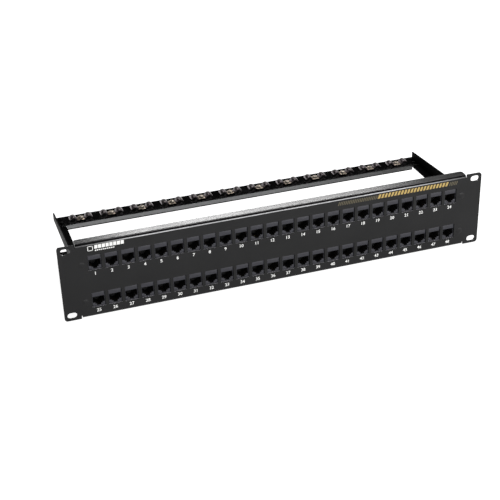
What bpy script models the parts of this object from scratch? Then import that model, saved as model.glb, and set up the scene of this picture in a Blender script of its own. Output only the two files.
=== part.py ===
"""Rack-mounted 48-port feed-through patch panel, two units high.

A folded steel front plate carries two rows of 24 jack positions.  Behind the
plate each group of six positions is a front jack block, a circuit board and a
rear jack block.  Four bracket arms reach backwards and carry two cable bars,
and each bar carries twelve double-arched cable saddles.

Units are metres.  X runs to the right of the panel, Y runs towards the back
of the rack and Z is up.  The origin is the middle of the plate's rear face,
which is the plane that seats against the rack posts.
"""

import math

import bmesh
import bpy
from mathutils import Matrix, Vector

MM = 0.001
GAP = 0.3 * MM

# Front plate
PLATE_WIDTH = 482.6 * MM
PLATE_HEIGHT = 88.1 * MM
SHEET = 1.6 * MM
CORNER_RADIUS = 3.0 * MM
FOLD_HALF_LENGTH = 222.0 * MM
FLANGE_DEPTH = 11.6 * MM
FLANGE_CORNER = 3.0 * MM
BEND_RADIUS = 3.2 * MM
RELIEF_WIDTH = 1.2 * MM
RELIEF_DEPTH = 3.6 * MM

# Rack fixing slots
SLOT_SPACING_X = 465.9 * MM
SLOT_SPACING_Z = 76.2 * MM
SLOT_WIDTH = 10.4 * MM
SLOT_HEIGHT = 6.8 * MM

# Jack positions
PORTS_PER_ROW = 24
PORTS_PER_BLOCK = 6
PORT_PITCH = 17.7 * MM
ROW_PITCH = 44.45 * MM
UPPER_ROW_Z = 20.45 * MM
WINDOW_WIDTH = 14.3 * MM
WINDOW_HEIGHT = 17.2 * MM

# Jack blocks and circuit boards
NOSE_PROUD = 0.6 * MM
BLOCK_HEIGHT = 20.4 * MM
BLOCK_BACK = 14.0 * MM
BOARD_THICKNESS = 1.6 * MM
BOARD_HEIGHT = 33.0 * MM
SOCKET_WIDTH = 11.7 * MM
SOCKET_HEIGHT = 6.7 * MM
SOCKET_TOP = 2.4 * MM
LATCH_WIDTH = 6.2 * MM
LATCH_HEIGHT = 3.2 * MM
SOCKET_DEPTH = 12.2 * MM

# Bracket arms
ARM_SHEET = 1.5 * MM
ARM_OUTSIDE = 223.4 * MM
ARM_LENGTH = 135.0 * MM
ARM_FLANGE_WIDTH = 10.7 * MM
ARM_BOTTOM = 6.0 * MM
ARM_BACK_TOP = 15.8 * MM
ARM_FRONT_TOP = 25.4 * MM
ARM_TAB_WIDTH = 10.7 * MM
STUD_X = 217.4 * MM
STUD_Z = 19.0 * MM
STUD_RADIUS = 1.5 * MM
NUT_ACROSS_FLATS = 5.5 * MM
NUT_HEIGHT = 2.4 * MM

# Cable bars
BAR_SHEET = 1.5 * MM
BAR_TOP = 9.3 * MM
BAR_FRONT = 113.0 * MM
BAR_BACK = 134.6 * MM
BAR_LIP_HEIGHT = 6.3 * MM
BAR_LIP_HALF_LENGTH = 212.3 * MM

# Cable saddles
SADDLE_SHEET = 1.0 * MM
SADDLE_FRONT = 117.2 * MM
SADDLE_DEPTH = 8.5 * MM
SADDLE_VALLEY_HALF = 3.8 * MM
SADDLE_FOOT_RADIUS = 1.4 * MM
SADDLE_FLANK_ANGLE = 65.0
SADDLE_INNER_RADIUS = 3.0 * MM
SADDLE_OUTER_RADIUS = 4.0 * MM
SADDLE_CREST_HEIGHT = 4.3 * MM
SADDLE_TIP_HEIGHT = 1.9 * MM
SCREW_HEAD_RADIUS = 3.0 * MM
SCREW_HEAD_HEIGHT = 2.0 * MM
SCREW_RADIUS = 1.5 * MM
SCREW_LENGTH = 7.0 * MM


def clear_scene():
    """Remove everything that is already in the scene."""
    for old in list(bpy.data.objects):
        bpy.data.objects.remove(old, do_unlink=True)


def make_collection(name):
    """Return a new collection linked to the scene."""
    group = bpy.data.collections.new(name)
    bpy.context.scene.collection.children.link(group)
    return group


def make_material(name, colour, roughness, metallic):
    """Return a Principled material with a plain colour."""
    material = bpy.data.materials.new(name)
    material.use_nodes = True
    shader = material.node_tree.nodes["Principled BSDF"]
    shader.inputs["Base Color"].default_value = (*colour, 1.0)
    shader.inputs["Roughness"].default_value = roughness
    shader.inputs["Metallic"].default_value = metallic
    material.diffuse_color = (*colour, 1.0)
    return material


def new_object(name, mesh, group):
    """Put a mesh into the scene as an object."""
    item = bpy.data.objects.new(name, mesh)
    group.objects.link(item)
    return item


def box_mesh(name, boxes):
    """Return one mesh that holds an axis-aligned box for each (low, high) pair."""
    shape = bmesh.new()
    for low, high in boxes:
        size = [b - a for a, b in zip(low, high)]
        centre = [(a + b) / 2 for a, b in zip(low, high)]
        place = Matrix.Translation(centre) @ Matrix.Diagonal((*size, 1.0))
        bmesh.ops.create_cube(shape, size=1.0, matrix=place)
    mesh = bpy.data.meshes.new(name)
    shape.to_mesh(mesh)
    shape.free()
    return mesh


def rounded_box(name, low, high, axis, radius, segments, keep, group):
    """Return a box whose edges along one axis are rounded where keep says so."""
    item = new_object(name, box_mesh(name, [(low, high)]), group)
    shape = bmesh.new()
    shape.from_mesh(item.data)
    chosen = []
    for edge in shape.edges:
        a, b = edge.verts[0].co, edge.verts[1].co
        along = [i for i in range(3) if abs(a[i] - b[i]) > 1e-7]
        if along == [axis] and keep((a + b) / 2):
            chosen.append(edge)
    bmesh.ops.bevel(
        shape, geom=chosen, offset=radius, offset_type="OFFSET",
        affect="EDGES", segments=segments, profile=0.5, clamp_overlap=True,
    )
    shape.to_mesh(item.data)
    shape.free()
    return item


def prism(name, outline, axis, start, stop, group):
    """Extrude a closed outline along an axis.

    The outline holds pairs in the plane across the axis: (y, z) for axis 0,
    (x, z) for axis 1 and (x, y) for axis 2.
    """
    shape = bmesh.new()
    corners = []
    for first, second in outline:
        point = [first, second]
        point.insert(axis, start)
        corners.append(shape.verts.new(point))
    face = shape.faces.new(corners)
    travel = [0.0, 0.0, 0.0]
    travel[axis] = stop - start
    pushed = bmesh.ops.extrude_face_region(shape, geom=[face])
    moved = [v for v in pushed["geom"] if isinstance(v, bmesh.types.BMVert)]
    bmesh.ops.translate(shape, verts=moved, vec=travel)
    bmesh.ops.recalc_face_normals(shape, faces=shape.faces)
    mesh = bpy.data.meshes.new(name)
    shape.to_mesh(mesh)
    shape.free()
    return new_object(name, mesh, group)


def cylinder(name, centre, radius, length, axis, sides, group, turn=0.0):
    """Return a closed cylinder along an axis, centred on a point."""
    shape = bmesh.new()
    direction = Vector([1.0 if i == axis else 0.0 for i in range(3)])
    lean = Vector((0, 0, 1)).rotation_difference(direction).to_matrix().to_4x4()
    spin = Matrix.Rotation(turn, 4, "Z")
    bmesh.ops.create_cone(
        shape, cap_ends=True, cap_tris=False, segments=sides,
        radius1=radius, radius2=radius, depth=length,
        matrix=Matrix.Translation(centre) @ lean @ spin,
    )
    mesh = bpy.data.meshes.new(name)
    shape.to_mesh(mesh)
    shape.free()
    return new_object(name, mesh, group)


def as_cutter(item):
    """Hide a helper object that only cuts or joins others."""
    item.hide_render = True
    item.display_type = "WIRE"
    return item


def boolean(item, other, operation):
    """Add an exact boolean modifier."""
    step = item.modifiers.new(operation.title(), "BOOLEAN")
    step.operation = operation
    step.object = as_cutter(other)
    step.solver = "EXACT"
    return step


def slot_outline(x, z, width, height, steps=8):
    """Return the outline of a round-ended slot in the XZ plane."""
    radius = height / 2
    reach = width / 2 - radius
    points = []
    for side in (1, -1):
        for i in range(steps + 1):
            angle = -math.pi / 2 + math.pi * i / steps
            points.append((
                x + side * (reach + radius * math.cos(angle)),
                z + side * radius * math.sin(angle),
            ))
    return points


def arc(centre, radius, first, last, steps):
    """Return points on an arc, angles in degrees."""
    points = []
    for i in range(steps + 1):
        angle = math.radians(first + (last - first) * i / steps)
        points.append((
            centre[0] + radius * math.cos(angle),
            centre[1] + radius * math.sin(angle),
        ))
    return points


def port_x(index):
    """Return the X of a jack position, 0 being the leftmost."""
    return (index - (PORTS_PER_ROW - 1) / 2) * PORT_PITCH


def folded_profile():
    """Return the plate's folded cross-section as a closed (y, z) outline."""
    top = PLATE_HEIGHT / 2 - 0.1 * MM
    back = -SHEET + FLANGE_DEPTH
    inner = BEND_RADIUS - SHEET
    bend_y = -SHEET + BEND_RADIUS
    bend_z = top - BEND_RADIUS
    outer_arc = arc((bend_y, bend_z), BEND_RADIUS, 180, 90, 8)
    inner_arc = arc((bend_y, bend_z), inner, 90, 180, 5)
    upper = outer_arc + [(back, top), (back, top - SHEET)] + inner_arc
    lower = [(y, -z) for y, z in reversed(upper)]
    return upper + lower


def make_front_plate(group, cutters, material):
    """Fold the plate, add the flat ears and cut every window and slot."""
    plate = prism(
        "front_plate", folded_profile(), 0,
        -FOLD_HALF_LENGTH, FOLD_HALF_LENGTH, group,
    )
    half_w = PLATE_WIDTH / 2
    half_h = PLATE_HEIGHT / 2
    for side in (-1, 1):
        inner_x = FOLD_HALF_LENGTH - 4.0 * MM
        low = (min(side * inner_x, side * half_w), -SHEET, -half_h)
        high = (max(side * inner_x, side * half_w), 0.0, half_h)
        ear = rounded_box(
            "ear_blank", low, high, 1, CORNER_RADIUS, 5,
            lambda p, s=side: s * p.x > FOLD_HALF_LENGTH, cutters,
        )
        relief = box_mesh("relief_cutter", [
            (
                (min(side * (FOLD_HALF_LENGTH - 6 * MM),
                     side * (FOLD_HALF_LENGTH + RELIEF_WIDTH)),
                 -SHEET - 2 * MM, up * half_h - RELIEF_DEPTH),
                (max(side * (FOLD_HALF_LENGTH - 6 * MM),
                     side * (FOLD_HALF_LENGTH + RELIEF_WIDTH)),
                 2 * MM, up * half_h + RELIEF_DEPTH),
            )
            for up in (-1, 1)
        ])
        boolean(ear, new_object("relief_cutter", relief, cutters), "DIFFERENCE")
        boolean(plate, ear, "UNION")

    windows = []
    for row in range(2):
        z = UPPER_ROW_Z - row * ROW_PITCH
        for index in range(PORTS_PER_ROW):
            x = port_x(index)
            windows.append((
                (x - WINDOW_WIDTH / 2, -SHEET - 2 * MM, z - WINDOW_HEIGHT / 2),
                (x + WINDOW_WIDTH / 2, 2 * MM, z + WINDOW_HEIGHT / 2),
            ))
    window_cutter = new_object("window_cutter", box_mesh("windows", windows), cutters)
    boolean(plate, window_cutter, "DIFFERENCE")

    for x_side in (-1, 1):
        for z_side in (-1, 1):
            outline = slot_outline(
                x_side * SLOT_SPACING_X / 2, z_side * SLOT_SPACING_Z / 2,
                SLOT_WIDTH, SLOT_HEIGHT,
            )
            slot = prism(
                "slot_cutter", outline, 1, -SHEET - 2 * MM, 2 * MM, cutters,
            )
            boolean(plate, slot, "DIFFERENCE")

    back = -SHEET + FLANGE_DEPTH
    for x_side in (-1, 1):
        corner = x_side * FOLD_HALF_LENGTH
        inside = x_side * (FOLD_HALF_LENGTH - FLANGE_CORNER)
        outline = [(corner + x_side * MM, back + MM)]
        outline.append((corner + x_side * MM, back - FLANGE_CORNER))
        for i in range(6):
            angle = math.radians(90 * i / 5)
            outline.append((
                inside + x_side * FLANGE_CORNER * math.cos(angle),
                back - FLANGE_CORNER + FLANGE_CORNER * math.sin(angle),
            ))
        outline.append((inside, back + MM))
        trim = prism(
            "flange_corner_cutter", outline, 2, -half_h - 5 * MM,
            half_h + 5 * MM, cutters,
        )
        boolean(plate, trim, "DIFFERENCE")
    plate.data.materials.append(material)
    return plate


def socket_outline(x, z):
    """Return one socket mouth with its latch keyway pointing down."""
    top = z + SOCKET_TOP
    shelf = top - SOCKET_HEIGHT
    floor = shelf - LATCH_HEIGHT
    half = SOCKET_WIDTH / 2
    key = LATCH_WIDTH / 2
    return [
        (x - half, top), (x - half, shelf), (x - key, shelf), (x - key, floor),
        (x + key, floor), (x + key, shelf), (x + half, shelf), (x + half, top),
    ]


def make_jack_block(name, first, z, front, group, cutters, material):
    """Make a moulded block of six sockets that faces the front or the back."""
    low_x = port_x(first) - PORT_PITCH / 2 + GAP
    high_x = port_x(first + PORTS_PER_BLOCK - 1) + PORT_PITCH / 2 - GAP
    shift = 0.0 if front else 2 * BLOCK_BACK + 2 * GAP + BOARD_THICKNESS
    sign = 1.0 if front else -1.0

    def depth(y):
        return shift + sign * y

    ends = sorted((depth(GAP), depth(BLOCK_BACK)))
    block = new_object(name, box_mesh(name, [(
        (low_x, ends[0], z - BLOCK_HEIGHT / 2),
        (high_x, ends[1], z + BLOCK_HEIGHT / 2),
    )]), group)
    if front:
        noses = []
        for index in range(first, first + PORTS_PER_BLOCK):
            x = port_x(index)
            half_w = WINDOW_WIDTH / 2 - GAP
            half_h = WINDOW_HEIGHT / 2 - GAP
            noses.append((
                (x - half_w, -NOSE_PROUD, z - half_h),
                (x + half_w, 2 * MM, z + half_h),
            ))
        nose = new_object("nose_blank", box_mesh("noses", noses), cutters)
        boolean(block, nose, "UNION")
    mouth = -NOSE_PROUD if front else GAP
    ends = sorted((depth(mouth - 2 * MM), depth(mouth + SOCKET_DEPTH)))
    for index in range(first, first + PORTS_PER_BLOCK):
        socket = prism(
            "socket_cutter", socket_outline(port_x(index), z), 1,
            ends[0], ends[1], cutters,
        )
        boolean(block, socket, "DIFFERENCE")
    block.data.materials.append(material)
    return block


def make_board(name, first, z, group, material):
    """Make the circuit board that joins a front and a rear jack block."""
    low_x = port_x(first) - PORT_PITCH / 2 + GAP
    high_x = port_x(first + PORTS_PER_BLOCK - 1) + PORT_PITCH / 2 - GAP
    board = new_object(name, box_mesh(name, [(
        (low_x, BLOCK_BACK + GAP, z - BOARD_HEIGHT / 2),
        (high_x, BLOCK_BACK + GAP + BOARD_THICKNESS, z + BOARD_HEIGHT / 2),
    )]), group)
    board.data.materials.append(material)
    return board


def make_arm(name, side, drop, group, cutters, material):
    """Make one bracket arm: tapered web, inward bottom flange and front tab."""
    outside = side * ARM_OUTSIDE
    inside = side * (ARM_OUTSIDE - ARM_SHEET)
    bottom = ARM_BOTTOM - drop
    web = [
        (GAP, bottom), (ARM_LENGTH, bottom),
        (ARM_LENGTH, ARM_BACK_TOP - drop), (GAP, ARM_FRONT_TOP - drop),
    ]
    arm = prism(name, web, 0, min(outside, inside), max(outside, inside), group)
    flange_edge = side * (ARM_OUTSIDE - ARM_FLANGE_WIDTH)
    flange = rounded_box(
        "arm_flange_blank",
        (min(outside - side * 0.2 * MM, flange_edge), GAP + 4 * MM, bottom),
        (max(outside - side * 0.2 * MM, flange_edge), ARM_LENGTH,
         bottom + ARM_SHEET),
        2, 2.0 * MM, 3, lambda p: abs(p.x) < ARM_OUTSIDE - 5 * MM, cutters,
    )
    boolean(arm, flange, "UNION")
    tab_edge = side * (ARM_OUTSIDE - ARM_TAB_WIDTH)
    tab = rounded_box(
        "arm_tab_blank",
        (min(outside - side * 0.2 * MM, tab_edge), GAP, bottom + 5 * MM),
        (max(outside - side * 0.2 * MM, tab_edge), GAP + ARM_SHEET,
         ARM_FRONT_TOP - drop - 0.6 * MM),
        1, 2.0 * MM, 3, lambda p: abs(p.x) < ARM_OUTSIDE - 5 * MM, cutters,
    )
    boolean(arm, tab, "UNION")
    hole = cylinder(
        "arm_hole_cutter", (side * STUD_X, GAP + ARM_SHEET / 2, STUD_Z - drop),
        STUD_RADIUS + GAP, 8 * MM, 1, 16, cutters,
    )
    boolean(arm, hole, "DIFFERENCE")
    arm.data.materials.append(material)
    return arm


def make_arm_nut(name, side, drop, group, cutters, material):
    """Make the threaded stud and hexagon nut that hold an arm to the plate."""
    x = side * STUD_X
    z = STUD_Z - drop
    start = GAP
    stop = GAP + ARM_SHEET + NUT_HEIGHT + 2.2 * MM
    nut = cylinder(
        name, (x, (start + stop) / 2, z), STUD_RADIUS, stop - start, 1, 16, group,
    )
    seat = 2 * GAP + ARM_SHEET
    hexagon = cylinder(
        "nut_blank", (x, seat + NUT_HEIGHT / 2, z),
        NUT_ACROSS_FLATS / math.sqrt(3), NUT_HEIGHT, 1, 6, cutters,
    )
    boolean(nut, hexagon, "UNION")
    nut.data.materials.append(material)
    return nut


def saddle_x(index):
    """Return the middle of a cable saddle, which spans two jack positions."""
    return (port_x(2 * index) + port_x(2 * index + 1)) / 2


def make_bar(name, drop, group, cutters, material):
    """Make a cable bar: flat strip with a front lip and the screw holes."""
    top = BAR_TOP - drop
    reach = ARM_OUTSIDE - ARM_SHEET - GAP
    bar = rounded_box(
        name,
        (-reach, BAR_FRONT, top - BAR_SHEET), (reach, BAR_BACK, top),
        2, 1.5 * MM, 3, lambda p: p.y > BAR_FRONT + MM, group,
    )
    lip = new_object("lip_blank", box_mesh("lip", [(
        (-BAR_LIP_HALF_LENGTH, BAR_FRONT, top - BAR_LIP_HEIGHT),
        (BAR_LIP_HALF_LENGTH, BAR_FRONT + BAR_SHEET, top),
    )]), cutters)
    boolean(bar, lip, "UNION")
    middle = SADDLE_FRONT + SADDLE_DEPTH / 2
    for index in range(PORTS_PER_ROW // 2):
        hole = cylinder(
            "bar_hole_cutter", (saddle_x(index), middle, top),
            SCREW_RADIUS + GAP, 8 * MM, 2, 10, cutters,
        )
        boolean(bar, hole, "DIFFERENCE")
    bar.data.materials.append(material)
    return bar


def saddle_side():
    """Return x, height and slope along one half of a strip's underside.

    From the screw outwards: flat valley, foot bend, straight flank, and a crown
    of two arcs that ends in a free tip above the bar.
    """
    steep = math.radians(SADDLE_FLANK_ANGLE)
    points = []
    for step in range(4):
        turn = steep * step / 3
        points.append((
            SADDLE_VALLEY_HALF + SADDLE_FOOT_RADIUS * math.sin(turn),
            SADDLE_FOOT_RADIUS * (1 - math.cos(turn)), turn,
        ))
    centre = SADDLE_CREST_HEIGHT - SADDLE_INNER_RADIUS
    rise = centre + SADDLE_INNER_RADIUS * math.cos(steep) - points[-1][1]
    crest = (
        points[-1][0] + rise / math.tan(steep)
        + SADDLE_INNER_RADIUS * math.sin(steep)
    )
    for step in range(4):
        turn = steep * (1 - step / 3)
        points.append((
            crest - SADDLE_INNER_RADIUS * math.sin(turn),
            centre + SADDLE_INNER_RADIUS * math.cos(turn), turn,
        ))
    centre = SADDLE_CREST_HEIGHT - SADDLE_OUTER_RADIUS
    last = math.acos((SADDLE_TIP_HEIGHT - centre) / SADDLE_OUTER_RADIUS)
    for step in range(1, 4):
        turn = last * step / 3
        points.append((
            crest + SADDLE_OUTER_RADIUS * math.sin(turn),
            centre + SADDLE_OUTER_RADIUS * math.cos(turn), -turn,
        ))
    return points


def make_saddle(name, index, drop, group, cutters, material):
    """Make one double-arched saddle together with its captive screw."""
    middle_x = saddle_x(index)
    seat = BAR_TOP - drop + GAP
    half = saddle_side()
    both = [(-x, z, -turn) for x, z, turn in reversed(half)] + half
    lower = [(middle_x + x, seat + z) for x, z, turn in both]
    upper = [
        (middle_x + x - SADDLE_SHEET * math.sin(turn),
         seat + z + SADDLE_SHEET * math.cos(turn))
        for x, z, turn in both
    ]
    saddle = prism(
        name, lower + upper[::-1], 1,
        SADDLE_FRONT, SADDLE_FRONT + SADDLE_DEPTH, group,
    )
    middle_y = SADDLE_FRONT + SADDLE_DEPTH / 2
    head_base = seat + SADDLE_SHEET - 0.2 * MM
    head = cylinder(
        "screw_head_blank",
        (middle_x, middle_y, head_base + (SCREW_HEAD_HEIGHT + 0.2 * MM) / 2),
        SCREW_HEAD_RADIUS, SCREW_HEAD_HEIGHT + 0.2 * MM, 2, 10, cutters,
    )
    boolean(saddle, head, "UNION")
    shank_top = seat + SADDLE_SHEET / 2
    shank = cylinder(
        "screw_shank_blank",
        (middle_x, middle_y, shank_top - SCREW_LENGTH / 2),
        SCREW_RADIUS, SCREW_LENGTH, 2, 8, cutters,
    )
    boolean(saddle, shank, "UNION")
    saddle.data.materials.append(material)
    return saddle


def build_panel():
    """Build the whole panel."""
    clear_scene()
    group = make_collection("patch_panel")
    cutters = make_collection("cutters")
    black = make_material("black_powder_coat", (0.022, 0.022, 0.024), 0.5, 0.0)
    moulding = make_material("jack_moulding", (0.05, 0.05, 0.06), 0.45, 0.0)
    board = make_material("circuit_board", (0.02, 0.12, 0.05), 0.5, 0.0)
    zinc = make_material("zinc_plate", (0.45, 0.44, 0.42), 0.35, 1.0)
    tin = make_material("tinned_saddle", (0.3, 0.29, 0.29), 0.35, 1.0)

    make_front_plate(group, cutters, black)
    rows = (("upper", UPPER_ROW_Z, 0.0), ("lower", UPPER_ROW_Z - ROW_PITCH, ROW_PITCH))
    for row, z, drop in rows:
        for number in range(PORTS_PER_ROW // PORTS_PER_BLOCK):
            first = number * PORTS_PER_BLOCK
            label = f"{number + 1}"
            make_jack_block(
                f"{row}_front_jack_block_{label}", first, z, True,
                group, cutters, moulding,
            )
            make_board(f"{row}_circuit_board_{label}", first, z, group, board)
            make_jack_block(
                f"{row}_rear_jack_block_{label}", first, z, False,
                group, cutters, moulding,
            )
        for side, word in ((-1, "left"), (1, "right")):
            make_arm(f"{row}_{word}_arm", side, drop, group, cutters, black)
            make_arm_nut(
                f"{row}_{word}_arm_nut", side, drop, group, cutters, zinc,
            )
        make_bar(f"{row}_cable_bar", drop, group, cutters, black)
        for index in range(PORTS_PER_ROW // 2):
            make_saddle(
                f"{row}_saddle_{index + 1:02d}", index, drop,
                group, cutters, tin,
            )


build_panel()
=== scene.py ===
# %% [markdown]
# # A rack patch panel, dressed around its CAD frame
# This panel is bolted to the front of an equipment rack.  A folded steel plate
# shows two rows of jacks, and behind it four arms carry two bars on which the
# cables are clamped.  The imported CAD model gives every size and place, so this
# lesson only adds what the eye wants: rounded sheet edges, moulded sockets,
# contact springs, screws, printing and real finishes.

# %% Load the frame
import math

import bmesh
import bpy
from mathutils import Matrix, Vector


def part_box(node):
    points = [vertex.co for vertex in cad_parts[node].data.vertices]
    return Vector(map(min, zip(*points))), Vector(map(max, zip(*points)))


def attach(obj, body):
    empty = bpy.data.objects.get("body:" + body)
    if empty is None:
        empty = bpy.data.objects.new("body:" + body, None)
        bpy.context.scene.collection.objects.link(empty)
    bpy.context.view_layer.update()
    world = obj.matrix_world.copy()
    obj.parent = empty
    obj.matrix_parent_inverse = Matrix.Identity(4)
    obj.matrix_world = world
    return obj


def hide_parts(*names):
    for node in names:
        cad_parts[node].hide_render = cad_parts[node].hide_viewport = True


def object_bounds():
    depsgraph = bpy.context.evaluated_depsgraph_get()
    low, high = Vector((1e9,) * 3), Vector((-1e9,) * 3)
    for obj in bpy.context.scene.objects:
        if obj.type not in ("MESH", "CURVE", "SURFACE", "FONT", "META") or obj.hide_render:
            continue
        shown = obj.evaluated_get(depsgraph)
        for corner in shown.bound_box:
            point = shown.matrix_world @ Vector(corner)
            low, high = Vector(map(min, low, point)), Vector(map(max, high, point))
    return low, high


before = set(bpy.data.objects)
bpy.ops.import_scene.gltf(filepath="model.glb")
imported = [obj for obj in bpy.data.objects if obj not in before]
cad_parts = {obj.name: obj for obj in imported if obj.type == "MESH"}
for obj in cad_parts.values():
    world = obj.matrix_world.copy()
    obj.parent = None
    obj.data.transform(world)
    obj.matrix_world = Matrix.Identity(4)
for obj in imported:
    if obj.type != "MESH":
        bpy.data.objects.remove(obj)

MM = 0.001
cad_low, cad_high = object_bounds()
print("nodes:", len(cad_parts), "box:", list(cad_low), list(cad_high))

# %% [markdown]
# ## Small tools
# Paint and plastic colours are chosen as the familiar six-digit sRGB values,
# but Blender mixes light in linear values, so one function translates them.
# A second function adds a shader node with its settings and its links.  Using
# one helper for every kind of node keeps the material cells short.

# %% Colour and node helpers
def linear(code, alpha=1.0):
    """Turn an sRGB code such as #808080 into linear values."""
    values = []
    for place in (1, 3, 5):
        share = int(code[place:place + 2], 16) / 255
        if share <= 0.04045:
            values.append(share / 12.92)
        else:
            values.append(((share + 0.055) / 1.055) ** 2.4)
    return (*values, alpha)


def add_node(tree, kind, settings=None, links=None):
    """Add a node, set its properties or inputs, and link its inputs."""
    node = tree.nodes.new(kind)
    for name, value in (settings or {}).items():
        if isinstance(name, int) or name in node.inputs:
            node.inputs[name].default_value = value
        else:
            setattr(node, name, value)
    for name, source in (links or {}).items():
        tree.links.new(source, node.inputs[name])
    return node


def start_finish(name, colour, roughness, metallic=0.0, ior=1.5):
    """Begin a material and hand back its tree, shader and coordinates."""
    finish = bpy.data.materials.new(name)
    finish.use_nodes = True
    tree = finish.node_tree
    shader = tree.nodes["Principled BSDF"]
    shader.inputs["Base Color"].default_value = linear(colour)
    shader.inputs["Roughness"].default_value = roughness
    shader.inputs["Metallic"].default_value = metallic
    shader.inputs["IOR"].default_value = ior
    coords = add_node(tree, "ShaderNodeTexCoord").outputs["Object"]
    return finish, tree, shader, coords


def cells(size_mm):
    """Scale that makes a noise cell about this many millimetres wide."""
    return 1000.0 / size_mm


print("helpers ready")

# %% [markdown]
# ## Powder coat on the plate
# The plate is sprayed with polyester powder and baked.  The melt leaves a satin
# black skin with a very fine pebble, so highlights are broad and a little
# uneven.  A noise bump makes the pebble and a slow noise drifts the shade and
# the gloss, because no baked coat is perfectly even.  The real pebble is about
# 0.3 mm and it is drawn at 0.9 mm, because finer would vanish at this distance.

# %% Powder coat
powder_coat, tree, shader, coords = start_finish(
    "satin_black_powder_coat", "#070708", 0.32, ior=1.31)
drift = add_node(tree, "ShaderNodeTexNoise",
                 {"Scale": cells(45), "Detail": 3.0, "Roughness": 0.6},
                 {"Vector": coords})
shade = add_node(tree, "ShaderNodeMix",
                 {"data_type": "RGBA", 6: linear("#050506"), 7: linear("#0a0a0b")},
                 {0: drift.outputs["Fac"]})
gloss = add_node(tree, "ShaderNodeMapRange",
                 {"From Min": 0.3, "From Max": 0.7, "To Min": 0.28, "To Max": 0.36},
                 {"Value": drift.outputs["Fac"]})
tree.links.new(gloss.outputs["Result"], shader.inputs["Roughness"])
pebble = add_node(tree, "ShaderNodeTexNoise",
                  {"Scale": cells(0.9), "Detail": 1.0}, {"Vector": coords})
bump = add_node(tree, "ShaderNodeBump", {"Strength": 0.2, "Distance": 0.05 * MM},
                {"Height": pebble.outputs["Fac"]})
tree.links.new(bump.outputs["Normal"], shader.inputs["Normal"])
print("made", powder_coat.name)

# %% [markdown]
# ## Painted highlights on the folds
# Where the sheet starts and stops bending, the fold catches a bright line of
# light, and it is painted into the coat as a paler grey.  Two thin bands follow
# the top fold: one low on its front and one on its crest.  Each band is a
# smooth step up and down in the height or the depth of the surface, read from
# object coordinates, and a noise breaks it up so that it fades in places.

# %% Painted fold highlights
place = add_node(tree, "ShaderNodeSeparateXYZ", {}, {0: coords})


def band(value, centre, half, soft):
    """Return a mask that is one near a coordinate and fades over soft."""
    away = add_node(tree, "ShaderNodeMath", {"operation": "SUBTRACT", 1: centre},
                    {0: value})
    size = add_node(tree, "ShaderNodeMath", {"operation": "ABSOLUTE"},
                    {0: away.outputs[0]})
    step = add_node(tree, "ShaderNodeMapRange",
                    {"From Min": half, "From Max": half + soft,
                     "To Min": 1.0, "To Max": 0.0}, {"Value": size.outputs[0]})
    return step.outputs["Result"]


highlight_breakup = add_node(tree, "ShaderNodeTexNoise",
                {"Scale": cells(60), "Detail": 4.0, "Roughness": 0.7},
                {"Vector": coords})
patchy = add_node(tree, "ShaderNodeMapRange",
                  {"From Min": 0.3, "From Max": 0.6, "To Min": 0.55, "To Max": 1.0},
                  {"Value": highlight_breakup.outputs["Fac"]}).outputs["Result"]
length = band(place.outputs["X"], 0.0, 150 * MM, 75 * MM)


def painted_highlight_line(height, depth):
    """Return a painted highlight mask along the fold, patchy and fading towards both ends.
    """
    mask = band(place.outputs["Z"], *height)
    for other in (band(place.outputs["Y"], *depth), patchy, length):
        mask = add_node(tree, "ShaderNodeMath", {"operation": "MULTIPLY"},
                        {0: mask, 1: other}).outputs[0]
    return mask


# Each painted highlight line is a height and a depth: the centre, half the width, the soft
# edge.
FOLD_START_HIGHLIGHT = ((41.45 * MM, 0.15 * MM, 0.6 * MM), (-1.6 * MM, 0.4 * MM, 0.3 * MM))
FOLD_CREST_HIGHLIGHT = ((44.0 * MM, 0.4 * MM, 0.3 * MM), (0.1 * MM, 0.3 * MM, 0.5 * MM))
fold_start_highlight = painted_highlight_line(*FOLD_START_HIGHLIGHT)
fold_crest_highlight = painted_highlight_line(*FOLD_CREST_HIGHLIGHT)
# The two paler greys mixed in here are painted highlights, not a change in the coat.
first = add_node(tree, "ShaderNodeMix", {"data_type": "RGBA", 7: linear("#b4b4b6")},
                 {0: fold_start_highlight, 6: shade.outputs[2]})
second = add_node(tree, "ShaderNodeMix", {"data_type": "RGBA", 7: linear("#6c6a6c")},
                  {0: fold_crest_highlight, 6: first.outputs[2]})
tree.links.new(second.outputs[2], shader.inputs["Base Color"])
print("painted fold highlights added to", powder_coat.name)

# %% [markdown]
# ## Painted highlight on the punched edges
# The up-facing cut sill of each window catches a thin line of light.  It is
# painted in as a second, paler finish for the plate: a streaky grey that
# still has a coat's gloss.

# %% Cut edges with a painted highlight
sill_highlight_finish, tree, shader, coords = start_finish(
    "thinly_coated_cut_edge", "#a4a2a8", 0.4, ior=1.4)
streak = add_node(tree, "ShaderNodeTexNoise",
                  {"Scale": cells(4), "Detail": 3.0}, {"Vector": coords})
shade = add_node(tree, "ShaderNodeMix",
                 {"data_type": "RGBA", 6: linear("#9a989e"), 7: linear("#c8c6cc")},
                 {0: streak.outputs["Fac"]})
tree.links.new(shade.outputs[2], shader.inputs["Base Color"])
print("made", sill_highlight_finish.name)
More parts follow.
